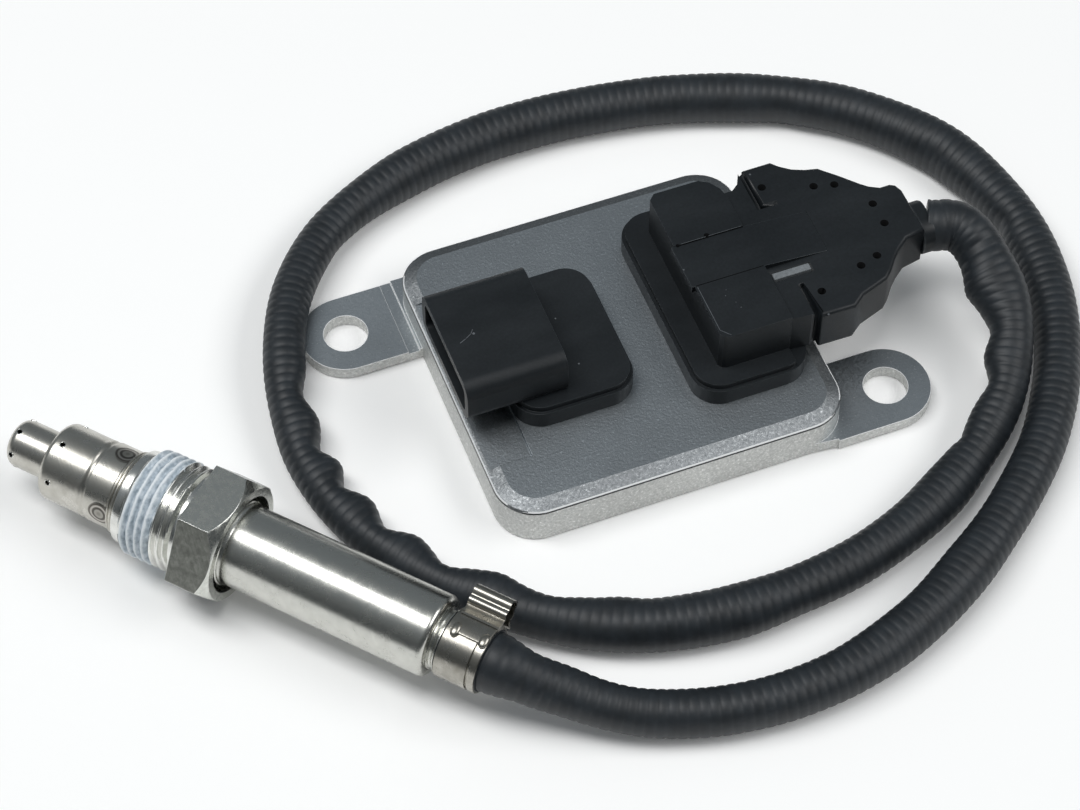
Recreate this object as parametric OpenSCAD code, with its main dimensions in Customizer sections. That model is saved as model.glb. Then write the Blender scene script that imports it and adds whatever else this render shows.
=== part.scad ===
// Exhaust nitrogen oxide sensor with its control unit, for a vehicle.
// Millimetres. The control unit's long edges lie along X and Y, its base is on z = 0
// and its socket opens towards -X. The probe and its sleeve lie beside it on the same plane.

/* [Control unit] */
// Housing length along X
unit_x = 67.6; // [60:0.2:80]
// Housing depth along Y
unit_y = 64; // [56:0.5:76]
// Height of the side walls up to their sharp top edge
wall_top = 8.2; // [6.5:0.1:11]
// Height of the flat top
roof_top = 9.4; // [7.6:0.1:13]
// Corner radius of the housing
unit_corner = 8; // [5:0.5:11]
// Width of the sloping border round the top
border = 2.7; // [1.5:0.1:4]
// Thickness of the housing walls
unit_wall = 2.4; // [1.8:0.1:3.5]
// Thickness of the flat roof
roof_wall = 2; // [1.4:0.1:2.4]
// Thickness of the plate that closes the underside
base_thick = 1.2; // [0.8:0.1:1.6]

/* [Fixing ears] */
// Thickness of both ears
ear_thick = 2.7; // [2:0.1:4]
// Radius of each ear's round end
ear_end = 8.5; // [7:0.1:10]
// Radius of the fixing holes
ear_bore = 4.2; // [3:0.1:5]
// Hole centre of the left ear beyond the housing wall
ear_left_out = 12.4; // [10:0.1:16]
// Hole centre of the left ear from the middle, along Y
ear_left_y = 23; // [14:0.5:23]
// Hole centre of the right ear beyond the housing wall
ear_right_out = 10.2; // [9:0.1:16]
// Hole centre of the right ear from the middle, along Y
ear_right_y = -24.4; // [-24.4:0.2:-14]

/* [Socket] */
// Length of the socket's pad along X
pad_l_x = 23.3; // [20:0.1:26]
// Width of the socket's pad along Y
pad_l_y = 30.2; // [28:0.2:36]
// Distance of the socket's pad from the housing's left wall
pad_l_in = 9; // [8:0.1:11]
// Height of both pads above the roof
pad_high = 5.1; // [4:0.1:6]
// Corner radius of both pads
pad_corner = 5.5; // [4:0.1:7]
// Width of the socket's hood
hood_w = 24.6; // [22:0.2:27]
// Height of the socket's hood
hood_h = 9.8; // [9:0.1:12]
// Corner radius of the socket's hood
hood_corner = 3; // [2:0.1:4]
// Wall of the socket's hood
hood_wall = 1.7; // [1.2:0.1:2.2]
// Length of the socket's hood
hood_len = 19.4; // [17:0.1:22]

/* [Header and plug] */
// Length of the header's pad along X
pad_r_x = 22.5; // [20:0.1:24]
// Width of the header's pad along Y
pad_r_y = 44; // [41:0.5:50]
// Distance of the header's pad from the middle of the housing
pad_r_at = 7.5; // [6:0.1:9]
// Width of the header's hood and of the plug's collar
head_w = 35.8; // [33:0.2:38]
// Height of the header's hood top above the plane the unit lies on
head_top = 23.8; // [22.8:0.1:26]
// Length of the header's hood
head_len = 13.8; // [12:0.1:15]
// Wall of the header's hood
head_wall = 1.6; // [1.2:0.1:2]
// Width of the latch arm that lies in the top of the hood
latch_w = 10; // [8:0.2:12]
// Height of the plug's shell
plug_h = 9.2; // [8:0.1:9.8]
// Length of the plug's shell from the header's mouth to the outlet
plug_len = 31.8; // [28:0.2:36]
// Radius of the moulding holes in the plug's top
pin_hole = 0.8; // [0.5:0.05:1]

/* [Probe] */
// Size across the flats of the gland nut
hex_af = 22; // [21:0.5:27]
// Length of the nut's hexagon
hex_len = 8; // [6:0.5:12]
// Outside diameter of the gland nut's thread
thread_d = 20; // [20:0.5:22]
// Length of the threaded part with its run-out
thread_len = 12.1; // [10:0.1:16]
// Thickness of the nut from its guide bore to the thread's crests
nut_wall = 1.95; // [1.6:0.05:2.2]
// Clearance between the nut's guide bore and the shell
nut_gap = 0.05; // [0.03:0.01:0.1]
// Width of the gap round the tube in the back of the nut
back_gap = 1.65; // [1.2:0.05:2]
// How far the shell's sealing collar stands over the nut's guide bore
collar_over = 0.85; // [0.6:0.05:1]
// Step from the nut's guide bore in to the tube behind the nut
tube_in = 0.4; // [0.3:0.05:0.8]
// Distance from the hexagon's front to the back of the tube
tube_end = 48.5; // [44:0.5:60]
// Wall of the probe's sheet metal tubes
sheet = 0.6; // [0.4:0.05:0.8]
// Step from the nut's guide bore in to the outer protection tube
guard_in = 0.7; // [0.5:0.05:1]
// Gap between the two protection tubes
tip_gap = 2.25; // [1.6:0.05:2.6]
// Distance from the hexagon's front to the tip
tip_end = 39.5; // [36:0.5:46]
// Radius of the gas holes
gas_hole = 0.5; // [0.3:0.05:0.8]

/* [Sleeve and clamp] */
// Diameter of the ribbed sleeve
sleeve_d = 8.5; // [7.5:0.1:8.6]
// Step from the rear tube in to the sleeve's end under the clamp
sleeve_in = 1.8; // [1.6:0.05:2.2]
// Width of the clamp's band
band_w = 6.1; // [5:0.1:7]
// Thickness of the clamp's band
band_t = 0.5; // [0.4:0.05:0.8]
// Height of the clamp's folded ear above its band
ear_h = 4.3; // [3:0.1:5.5]
// Width of the clamp's folded ear
ear_w = 3.8; // [3:0.1:5]

/* [Hidden] */
$fn = 48;

eps = 0.01;
// Small step round the top of both pads
pad_step = 0.6;
pad_step_high = 1.3;
pad_top = roof_top + pad_high;
pad_l_left = -unit_x / 2 + pad_l_in;
pad_l_mid = pad_l_left + pad_l_x / 2;
pad_r_mid = pad_r_at + pad_r_x / 2;

// The recess under the socket's mouth
patch_deep = 0.8;
patch_y = 40.2;

// Cavity, board and ledges inside the unit
cavity_x = unit_x - 2 * unit_wall - 2;
cavity_y = unit_y - 2 * unit_wall - 2;
cavity_corner = unit_corner - unit_wall;
cavity_top = roof_top - roof_wall;
plate_x = unit_x - 2 * unit_wall;
plate_y = unit_y - 2 * unit_wall;
board_x = cavity_x - 3;
board_y = cavity_y - 3;
board_low = base_thick + 1.4;
board_thick = 1.2;
board_top = board_low + board_thick;
seal_band = 2.4;
post_r = 2.6;

// Socket and its blades
hood_left = -unit_x / 2 - 0.4;
hood_mid_z = pad_top - 1.1 + hood_h / 2;
hood_deep = 15.4;
blade_pitch = 3.8;
blade_w = 1.5;
blade_t = 0.8;
blade_root = hood_left + hood_deep;
blade_x = blade_root + 1.6;
blade_tip = hood_left + 5.5;
boss_l_x = 11;
boss_l_y = 20;

// Header and plug
head_left = pad_r_at + 5.1;
head_mouth = head_left + head_len;
head_low = pad_top - 1.2;
head_in_low = head_low + head_wall;
head_in_top = head_top - head_wall;
nose_play = 0.3;
nose_left = head_left + 3.4;
nose_w = head_w - 2 * head_wall - 2 * nose_play;
nose_low = head_in_low + nose_play;
nose_top = head_in_top - nose_play;
collar_x = 4.1;
shell_left = head_mouth;
grip_left = head_mouth + collar_x;
shell_low = pad_top - pad_step_high;
shell_top = shell_low + plug_h;
pin_pitch = (nose_w - 6.8) / 7;
pin_rows = [nose_low + 2, nose_top - 2];
pin_w = 0.8;
pin_root = head_left + 2.2;
pin_tip = nose_left + 4.6;
contact_end = shell_left - 3;
contact_half = 0.9;
seal_bed = 1;
seal_len = 2.2;
seal_back = 6.4;
boss_r_x = 11;
boss_r_left = head_left + 0.65;
boss_r_y = 34;
outlet_x = shell_left + plug_len;
outlet_len = 2.8;
outlet_end = outlet_x + outlet_len;
outlet_y = -2.4;
outlet_z = shell_low + 4;
outlet_r = 4.6;
bar_w = 1.5;
bar_x = 7.4;
bar_y = -7.3;
bar_deep = 2.6;
bar_proud = 0.3;
hole_deep = 1.6;
latch_tail = 12.8;
latch_left = head_left - 0.6;
latch_right = head_mouth + latch_tail;
latch_low = head_in_top;

// Probe
nut_bore = thread_d / 2 - nut_wall;
tube_r = nut_bore - tube_in;
nut_back = tube_r + back_gap;
flare_r = tube_r + 0.5;
flare_at = hex_len - 2.2;
collar_r = nut_bore + collar_over;
guard_r = nut_bore - guard_in;
tip_r = guard_r - sheet - tip_gap;
sleeve_end_r = tube_r - sleeve_in;
probe_x = -85.2;
probe_y = -14.7;
probe_turn = -49.2;
hex_corner = hex_af / 2 / cos(30);
nut_front = -thread_len;
shank_r = nut_bore - nut_gap;
collar_back = nut_front - 0.2;
collar_front = collar_back - 1.6;
shank_back = -1;
spigot_back = 4;
spigot_r = tube_r - sheet;
stack_r = nut_bore - 3.15;
front_stack = 6;
talc_stack = 4.5;
holder_end = 24;
spring_len = 16;
spring_low = holder_end - spring_len;
reach_in = 7;
guard_front = -30.6;
guard_seam = -20.7;
guard_inner = guard_r - sheet;
ring_r = guard_r + 0.15;
front_shell_r = tip_r + 0.9;
strip_w = 4.2;
strip_t = 1.2;
wire_r = sleeve_end_r * 0.547;
lip_r = sleeve_end_r + 0.05;
neck_r = (wire_r + sleeve_end_r) / 2;
neck_len = 1.4;
neck_end = tube_end + neck_len;
sleeve_from = neck_end + 8.3;
band_from = neck_end + 0.3;
band_r = sleeve_end_r + band_t;
ear_turn = 125;
ear_from = 0.9;
ear_long = 7.3;

// Sleeve
sleeve_sides = 10;
exit_x = probe_x + sleeve_from * cos(probe_turn);
exit_y = probe_y + sleeve_from * sin(probe_turn);
exit_z = hex_af / 2;
lay = sleeve_d / 2 + 0.05;
// Where the sleeve lies, from the clamp to the plug
route = [
  [exit_x, exit_y, exit_z],
  [exit_x + 1.7, exit_y - 1.9, exit_z],
  [-38.3, -66.4, 8.3],
  [-24.2, -74.6, 4.8],
  [-5.5, -79.6, lay],
  [5.3, -79.8, lay],
  [27.7, -74, lay],
  [42.4, -65.9, lay],
  [55.2, -56.5, lay],
  [66, -46.2, lay],
  [75.3, -32.6, lay],
  [81.2, -18.6, lay],
  [83.6, -3, lay],
  [81.8, 12.4, lay],
  [75, 27, lay],
  [63.4, 39.6, lay],
  [49.5, 48, lay],
  [34.1, 53.7, lay],
  [16, 57.2, lay],
  [-8.4, 57.6, lay],
  [-27, 53.6, lay],
  [-43.3, 45, lay + 0.4],
  [-53.2, 33.4, lay + 1.4],
  [-58.8, 21, lay + 2],
  [-61.6, 9.6, lay + 0.8],
  [-62.4, -1.4, lay],
  [-57.6, -21.6, lay],
  [-40, -44.8, lay],
  [-32.4, -50.8, lay],
  [-22.5, -56.4, lay],
  [-9.5, -60, lay],
  [13.4, -60.4, lay],
  [25, -58.2, lay],
  [47, -48.6, 4.4],
  [61.2, -37.2, 7],
  [69.3, -14.4, 14.2],
  [65.6, -4, outlet_z - 0.2],
  [outlet_end + 0.8, outlet_y - 0.4, outlet_z],
  [outlet_end, outlet_y, outlet_z]
];

last_point = len(route) - 1;
function unit(v) = v / norm(v);
// Direction of the sleeve at each point of the route
function way(i) =
  i == 0 ? [cos(probe_turn), sin(probe_turn), 0]
  : i >= last_point - 1 ? [-1, 0, 0]
  : let (back = route[i] - route[i - 1], ahead = route[i + 1] - route[i])
    unit(unit(back) * norm(ahead) + unit(ahead) * norm(back));
// A smooth curve through the route's points, with rings about a width apart
function spot(i, t) =
  let (reach = norm(route[i + 1] - route[i]))
  (2 * t ^ 3 - 3 * t ^ 2 + 1) * route[i]
    + (t ^ 3 - 2 * t ^ 2 + t) * reach * way(i)
    + (3 * t ^ 2 - 2 * t ^ 3) * route[i + 1]
    + (t ^ 3 - t ^ 2) * reach * way(i + 1);
function rings_in(i) = max(1, round(norm(route[i + 1] - route[i]) / sleeve_d));
line_points = [
  for (i = [0 : last_point - 1], k = [0 : rings_in(i) - 1]) spot(i, k / rings_in(i)),
  route[last_point]
];
ring_count = len(line_points);
function heading(i) =
  i == 0 ? way(0)
  : i >= ring_count - 2 ? [-1, 0, 0]
  : unit(line_points[i + 1] - line_points[i - 1]);
function ring(i) =
  let (t = heading(i), s = unit(cross(t, [0, 0, 1])), u = cross(s, t))
  [for (k = [0 : sleeve_sides - 1])
    line_points[i]
      + sleeve_d / 2 * (cos(360 * (k + 0.5) / sleeve_sides) * s
      + sin(360 * (k + 0.5) / sleeve_sides) * u)];

module slab(x, y, r, h) {
  linear_extrude(h)
    offset(r)
    square([x - 2 * r, y - 2 * r], center = true);
}

module on_probe() {
  translate([probe_x, probe_y, hex_af / 2])
    rotate([0, 0, probe_turn])
    rotate([0, 90, 0])
    children();
}

// A turned tube between two distances along the probe
module pipe(a, b, r_out, r_in) {
  translate([0, 0, a])
    difference() {
      cylinder(r = r_out, h = b - a);
      translate([0, 0, -1])
        cylinder(r = r_in, h = b - a + 2);
    }
}

module ear(x, y, wall_x) {
  reach = abs(x - wall_x) + 3;
  translate([x, y, 0])
    cylinder(r = ear_end, h = ear_thick);
  translate([x > 0 ? x - reach : x, y - ear_end, 0])
    cube([reach, 2 * ear_end, ear_thick]);
}

module housing() {
  left_x = -unit_x / 2 - ear_left_out;
  right_x = unit_x / 2 + ear_right_out;
  color([0.62, 0.64, 0.65])
    difference() {
      union() {
        hull() {
          slab(unit_x, unit_y, unit_corner, wall_top);
          slab(unit_x - 2 * border, unit_y - 2 * border, unit_corner - border, roof_top);
        }
        ear(left_x, ear_left_y, -unit_x / 2);
        ear(right_x, ear_right_y, unit_x / 2);
        // Webs that run the ears' outer edges into the walls
        translate([-unit_x / 2 - 2.7, unit_y / 2 - unit_corner, 0])
          cube([unit_corner + 2.7, unit_corner - 0.1, ear_thick]);
        linear_extrude(ear_thick)
          polygon([
            [unit_x / 2 - unit_corner, -unit_y / 2], [unit_x / 2 + 2, ear_right_y - ear_end],
            [unit_x / 2 + 2, unit_corner - unit_y / 2],
            [unit_x / 2 - unit_corner, unit_corner - unit_y / 2]
          ]);
      }
      translate([0, 0, base_thick])
        difference() {
          translate([0, 0, -eps])
            slab(cavity_x, cavity_y, cavity_corner, cavity_top - base_thick + eps);
          for (x = [-1, 1], y = [-1, 1])
            translate([x * (board_x / 2 - 3.4), y * (board_y / 2 - 3.4), board_top - base_thick])
              cylinder(r = post_r, h = 12);
        }
      translate([0, 0, -eps])
        slab(plate_x, plate_y, cavity_corner, base_thick + eps);
      translate([-unit_x / 2 - 1, -patch_y / 2, roof_top - patch_deep])
        cube([pad_l_in + 1, patch_y, 4]);
      translate([pad_l_mid - boss_l_x / 2, -boss_l_y / 2, board_top + 1])
        cube([boss_l_x, boss_l_y, 9]);
      translate([boss_r_left, -boss_r_y / 2, board_top + 1])
        cube([boss_r_x, boss_r_y, 9]);
      translate([left_x, ear_left_y, -1])
        cylinder(r = ear_bore, h = ear_thick + 2);
      translate([right_x, ear_right_y, -1])
        cylinder(r = ear_bore, h = ear_thick + 2);
      translate([-unit_x / 2 - 2.7, ear_left_y - ear_end - 1, ear_thick - 0.5])
        cube([2.2, 2 * ear_end + 2, 2]);
    }
}

module base_plate() {
  color([0.6, 0.62, 0.63])
    slab(plate_x, plate_y, cavity_corner, base_thick);
}

module base_seal() {
  color([0.1, 0.1, 0.11])
    translate([0, 0, base_thick])
    difference() {
      slab(cavity_x, cavity_y, cavity_corner, board_low - base_thick);
      translate([0, 0, -1])
        slab(cavity_x - 2 * seal_band, cavity_y - 2 * seal_band, cavity_corner - seal_band, 9);
    }
}

module circuit_board() {
  color([0.1, 0.32, 0.18])
    translate([0, 0, board_low])
    slab(board_x, board_y, 2.5, board_thick);
}

module main_chip() {
  color([0.08, 0.08, 0.09])
    translate([-3, -21, board_top])
    linear_extrude(1.4)
    square([10, 10], center = true);
}

module driver_chip() {
  color([0.08, 0.08, 0.09])
    translate([-14, 20, board_top])
    linear_extrude(1.4)
    square([8, 6], center = true);
}

module pad(mid_x, x, y) {
  translate([mid_x, 0, roof_top])
    slab(x, y, pad_corner, pad_high - pad_step_high);
  translate([mid_x, 0, roof_top])
    slab(x - 2 * pad_step, y - 2 * pad_step, pad_corner - pad_step, pad_high);
}

// Groove for a flat seal in the underside of a pad
module seal_band_ring(mid_x, x, y, high) {
  translate([mid_x, 0, roof_top])
    difference() {
      slab(x - 3, y - 3, pad_corner - 1.5, high);
      translate([0, 0, -1])
        slab(x - 6, y - 6, pad_corner - 3, high + 2);
    }
}

module hood_block(w, h, r, len) {
  rotate([0, 90, 0])
    linear_extrude(len)
    offset(r)
    square([h - 2 * r, w - 2 * r], center = true);
}

module socket_blade(i) {
  y = (i - 3) * blade_pitch;
  translate([blade_tip, y - blade_w / 2, hood_mid_z - blade_t / 2])
    cube([blade_x + blade_t - blade_tip, blade_w, blade_t]);
  translate([blade_x, y - blade_w / 2, board_top])
    cube([blade_t, blade_w, hood_mid_z - board_top]);
}

module socket() {
  color([0.13, 0.14, 0.155])
    difference() {
      union() {
        pad(pad_l_mid, pad_l_x, pad_l_y);
        translate([hood_left, 0, hood_mid_z])
          hood_block(hood_w, hood_h, hood_corner, hood_len);
        translate([pad_l_mid - boss_l_x / 2, -boss_l_y / 2, cavity_top])
          cube([boss_l_x, boss_l_y, roof_wall + 1]);
      }
      translate([hood_left - 1, 0, hood_mid_z])
        hood_block(hood_w - 2 * hood_wall, hood_h - 2 * hood_wall, hood_corner - hood_wall, hood_deep + 1);
      seal_band_ring(pad_l_mid, pad_l_x, pad_l_y, 0.6);
      for (i = [1 : 5])
        socket_blade(i);
    }
}

module socket_seal() {
  color([0.3, 0.3, 0.32])
    seal_band_ring(pad_l_mid, pad_l_x, pad_l_y, 0.6);
}

module socket_pin(i) {
  color([0.75, 0.72, 0.6])
    socket_blade(i);
}

module socket_pin_1() {
  socket_pin(1);
}

module socket_pin_2() {
  socket_pin(2);
}

module socket_pin_3() {
  socket_pin(3);
}

module socket_pin_4() {
  socket_pin(4);
}

module socket_pin_5() {
  socket_pin(5);
}

// Eight pins in two rows: the upper row bends down behind the lower one
module header_pin_set() {
  for (row = [0, 1], i = [-1.5 : 1 : 1.5]) {
    y = (i * 2 + row * 0.5) * pin_pitch;
    back = pin_root + 1.6 - row * 1.8;
    translate([back, y - pin_w / 2, pin_rows[row] - pin_w / 2])
      cube([pin_tip - back, pin_w, pin_w]);
    translate([back, y - pin_w / 2, board_top])
      cube([pin_w, pin_w, pin_rows[row] + pin_w / 2 - board_top]);
  }
}

// Plan of the header's hood: its rear corner at the mouth is round
module hood_plan(long, half) {
  polygon([
    [0, 1.2 - half], [0.5, 0.4 - half], [1.4, -half], [long, -half], [long, half - 5.4],
    [long - 0.5, half - 3.2], [long - 1.8, half - 1.2], [long - 3.6, half], [1.2, half],
    [0, half - 1.2]
  ]);
}

// What lies inside the hood's plan from one place on, held back from its walls
module hood_inside(from, gap) {
  intersection() {
    translate([from, -head_w])
      square([2 * head_len, 2 * head_w]);
    translate([head_left, 0])
      union() {
        offset(delta = -gap)
          hood_plan(head_len, head_w / 2);
        translate([head_len - gap - 1, gap - head_w / 2])
          square([gap + 4, head_w - 2 * gap - 6]);
      }
  }
}

module header() {
  color([0.13, 0.14, 0.155])
    difference() {
      union() {
        pad(pad_r_mid, pad_r_x, pad_r_y);
        translate([head_left, 0, head_low])
          linear_extrude(head_top - head_low)
          hood_plan(head_len, head_w / 2);
        translate([boss_r_left, -boss_r_y / 2, cavity_top])
          cube([boss_r_x, boss_r_y, roof_wall + 1]);
      }
      translate([0, 0, head_in_low])
        linear_extrude(head_in_top - head_in_low)
        hood_inside(nose_left - 0.4, head_wall);
      translate([head_mouth, -pad_r_y, shell_low])
        cube([20, 2 * pad_r_y, 20]);
      translate([latch_left - 1, -latch_w / 2, latch_low])
        cube([head_len + 3, latch_w, 9]);
      seal_band_ring(pad_r_mid, pad_r_x, pad_r_y, 0.6);
      header_pin_set();
    }
}

module header_seal() {
  color([0.3, 0.3, 0.32])
    seal_band_ring(pad_r_mid, pad_r_x, pad_r_y, 0.6);
}

module header_pins() {
  color([0.75, 0.72, 0.6])
    header_pin_set();
}

module nose_box(x, grow) {
  translate([x, -nose_w / 2 - grow, nose_low - grow])
    cube([seal_len, nose_w + 2 * grow, nose_top - nose_low + 2 * grow]);
}

module plug_seal() {
  color([0.55, 0.25, 0.12])
    difference() {
      nose_box(shell_left - seal_back, nose_play);
      nose_core();
    }
}

module nose_core() {
  translate([nose_left - 1, -nose_w / 2 + seal_bed, nose_low + seal_bed])
    cube([head_len, nose_w - 2 * seal_bed, nose_top - nose_low - 2 * seal_bed]);
}

module contact_set() {
  for (row = [0, 1], i = [-1.5 : 1 : 1.5])
    translate([
      nose_left + 1, (i * 2 + row * 0.5) * pin_pitch - contact_half, pin_rows[row] - contact_half
    ])
      cube([contact_end - nose_left - 1, 2 * contact_half, 2 * contact_half]);
}

module plug_insert() {
  color([0.16, 0.17, 0.18])
    difference() {
      translate([0, 0, nose_low])
        linear_extrude(nose_top - nose_low)
        intersection() {
          hood_inside(nose_left, head_wall + nose_play);
          translate([nose_left, -head_w])
            square([shell_left - nose_left, 2 * head_w]);
        }
      difference() {
        nose_box(shell_left - seal_back, 2);
        nose_core();
      }
      contact_set();
      header_pin_set();
    }
}

module plug_contacts() {
  color([0.75, 0.72, 0.6])
    difference() {
      contact_set();
      header_pin_set();
    }
}

// Plan of the plug's shell, read off the photograph: half widths and lengths of a plug that is
// 31.8 long and 35.8 wide, brought to the plug's real size
module shell_plan() {
  translate([shell_left, 0])
    scale([plug_len / 31.8, head_w / 35.8])
    polygon([
      [0, -17.3], [4.1, -17.6], [6, -18.4], [12.4, -18.5], [14.9, -16.6], [17.8, -15.6],
      [20.4, -14.7], [22, -13.2], [23.9, -10.8], [25.5, -9.2], [27.8, -7.4], [31.8, -6.6],
      [31.8, 3.4], [31.2, 5], [30.2, 5.6], [28.2, 5.6], [26.4, 6.6], [25.2, 7.7], [22.2, 11],
      [19.2, 14], [16.8, 14.6], [14.5, 15.6], [12.6, 17.1], [11.4, 18.5], [5.6, 18.5],
      [4.6, 18], [3.5, 15.6], [1.9, 14.4], [0, 14.4]
    ]);
}

// Holes that the mould's core pins leave in the shell's top, in the same measure as the plan
module moulding_holes() {
  at = [
    [7.4, 13.2], [16.6, 10], [20.4, 9], [25.2, 2.2], [25.3, -2.8], [20.8, -9.3],
    [17.1, -10.4], [7.9, -13.3]
  ];
  for (p = at)
    translate([
      shell_left + p[0] * plug_len / 31.8, p[1] * head_w / 35.8, shell_top - hole_deep
    ])
      cylinder(r = pin_hole, h = 2 * hole_deep);
}

module plug_shell() {
  color([0.13, 0.14, 0.155])
    difference() {
      translate([0, 0, shell_low])
        linear_extrude(plug_h)
        shell_plan();
      moulding_holes();
      // Channels that set the grips off from the collar
      translate([grip_left + 0.4, 9, shell_top - 1.4])
        cube([1.1, 20, 5]);
      translate([grip_left + 0.4, 8.4, shell_top - 1.4])
        cube([4.2, 1, 5]);
      translate([grip_left + 0.4, -17.2, shell_top - 1.4])
        cube([1.1, 7, 5]);
      translate([grip_left + 0.4, -30, shell_low - 1])
        cube([1.1, 12.9, 20]);
      lock_bar_body(0.4);
      latch_body();
      translate([shell_left, outlet_y, outlet_z])
        rotate([0, 90, 0])
        translate([0, 0, 6])
        cylinder(r = wire_r, h = 60);
    }
}

module latch_body() {
  hull() {
    translate([latch_left, -latch_w / 2, latch_low])
      cube([head_len, latch_w, head_top - latch_low - 0.1]);
    translate([latch_right - 1, -latch_w / 2, latch_low])
      cube([1, latch_w, 0.2]);
  }
}

module plug_latch() {
  color([0.14, 0.15, 0.165])
    latch_body();
}

module lock_bar_body(play) {
  translate([head_mouth + 0.8, bar_y - bar_w / 2 - play, shell_top - bar_deep])
    cube([bar_x + play, bar_w + 2 * play, bar_deep + bar_proud + (play > 0 ? plug_h : 0)]);
}

module lock_bar() {
  color([0.5, 0.52, 0.53])
    lock_bar_body(0);
}

module outlet_boot() {
  color([0.15, 0.155, 0.16])
    difference() {
      translate([outlet_x, outlet_y, outlet_z])
        hood_block(2 * outlet_r + 0.6, 2 * outlet_r - 0.8, 3.6, outlet_end - outlet_x);
      translate([outlet_x - 1, outlet_y, outlet_z])
        rotate([0, 90, 0])
        cylinder(r = wire_r, h = 9);
    }
}

module sleeve() {
  n = sleeve_sides;
  color([0.15, 0.17, 0.19])
    polyhedron(
      points = [for (i = [0 : ring_count - 1]) each ring(i)],
      faces = concat(
        [[for (k = [n - 1 : -1 : 0]) k]],
        [for (i = [0 : ring_count - 2], k = [0 : n - 1])
          let (a = i * n + k, b = i * n + (k + 1) % n)
          [a, b, b + n]],
        [for (i = [0 : ring_count - 2], k = [0 : n - 1])
          let (a = i * n + k, b = i * n + (k + 1) % n)
          [a, b + n, a + n]],
        [[for (k = [0 : n - 1]) (ring_count - 1) * n + k]]
      ),
      convexity = 8
    );
}

module gas_holes(at, count, first) {
  for (i = [0 : count - 1])
    rotate([0, 0, first + i * 360 / count])
      translate([0, 0, at])
      rotate([0, 90, 0])
      cylinder(r = gas_hole, h = 12, $fn = 16);
}

module inner_tube() {
  color([0.72, 0.71, 0.68])
    on_probe()
    difference() {
      rotate_extrude()
        polygon([
          [0, -tip_end], [tip_r - 1.3, -tip_end], [tip_r - 0.4, -tip_end + 0.35],
          [tip_r, -tip_end + 1.2], [tip_r, collar_front], [tip_r - 0.5, collar_front],
          [tip_r - 0.5, -tip_end + 1.3], [tip_r - 0.9, -tip_end + 0.7], [0, -tip_end + 0.5]
        ]);
      gas_holes(-tip_end + 1.7, 6, 7);
    }
}

module outer_tube() {
  color([0.72, 0.71, 0.68])
    on_probe()
    difference() {
      rotate_extrude()
        polygon([
          [tip_r, guard_front], [guard_r - 1.4, guard_front], [guard_r - 0.4, guard_front + 0.4],
          [guard_r, guard_front + 1.4], [guard_r, collar_front], [guard_inner, collar_front],
          [guard_inner, guard_front + 1.5], [guard_inner - 0.7, guard_front + sheet],
          [tip_r, guard_front + sheet]
        ]);
      gas_holes(guard_front + 2.6, 6, 6);
    }
}

module guard_ring() {
  color([0.7, 0.69, 0.66])
    on_probe()
    pipe(guard_seam, collar_front, ring_r, guard_r);
}

module probe_shell() {
  color([0.7, 0.69, 0.66])
    on_probe()
    difference() {
      union() {
        translate([0, 0, collar_front])
          cylinder(r = collar_r, h = collar_back - collar_front);
        translate([0, 0, collar_back])
          cylinder(r = shank_r, h = shank_back - collar_back);
        translate([0, 0, shank_back])
          cylinder(r = spigot_r, h = spigot_back - shank_back);
      }
      translate([0, 0, collar_front - 1])
        cylinder(r = stack_r, h = 40);
    }
}

module element_hole() {
  translate([-strip_t / 2, -strip_w / 2, -60])
    cube([strip_t, strip_w, 120]);
}

module front_ceramic() {
  color([0.9, 0.88, 0.82])
    on_probe()
    difference() {
      translate([0, 0, collar_front])
        cylinder(r = stack_r, h = front_stack);
      element_hole();
    }
}

module talc_packing() {
  color([0.75, 0.74, 0.7])
    on_probe()
    difference() {
      translate([0, 0, collar_front + front_stack])
        cylinder(r = stack_r, h = talc_stack);
      element_hole();
    }
}

module rear_ceramic() {
  color([0.9, 0.88, 0.82])
    on_probe()
    difference() {
      translate([0, 0, collar_front + front_stack + talc_stack])
        cylinder(r = stack_r, h = spigot_back - collar_front - front_stack - talc_stack);
      element_hole();
    }
}

module sensor_strip() {
  color([0.93, 0.93, 0.9])
    on_probe()
    translate([-strip_t / 2, -strip_w / 2, -tip_end + reach_in])
    cube([strip_t, strip_w, tip_end - reach_in + holder_end - 3]);
}

module gland_nut() {
  color([0.72, 0.72, 0.7])
    on_probe()
    difference() {
      union() {
        intersection() {
          rotate([0, 0, 30])
            cylinder(r = hex_corner, h = hex_len, $fn = 6);
          rotate_extrude()
            polygon([
              [0, 0], [hex_corner + 1, 0], [hex_corner + 1, hex_len - 1.9 - 1],
              [hex_corner - 1.9, hex_len], [0, hex_len]
            ]);
        }
        rotate_extrude()
          polygon([
            [0, nut_front], [thread_d / 2 - 0.9, nut_front], [thread_d / 2, nut_front + 0.9],
            [thread_d / 2, -1.4], [thread_d / 2 - 1, -1.2], [thread_d / 2 - 1, 1], [0, 1]
          ]);
      }
      translate([0, 0, nut_front - 1])
        cylinder(r = nut_bore, h = 50);
      translate([0, 0, 0.8])
        cylinder(r = nut_back, h = 50);
    }
}

module rear_tube() {
  color([0.68, 0.67, 0.64])
    on_probe()
    rotate_extrude()
    polygon([
      [spigot_r, shank_back], [tube_r, shank_back], [tube_r, flare_at], [flare_r, flare_at + 0.4],
      [flare_r, flare_at + 1.6], [tube_r, flare_at + 2.4], [tube_r, tube_end - 0.8],
      [tube_r - 0.25, tube_end - 0.2], [tube_r - 0.8, tube_end], [lip_r, tube_end],
      [lip_r, tube_end - sheet], [spigot_r - 0.3, tube_end - sheet], [spigot_r, tube_end - 1.2]
    ]);
}

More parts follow.
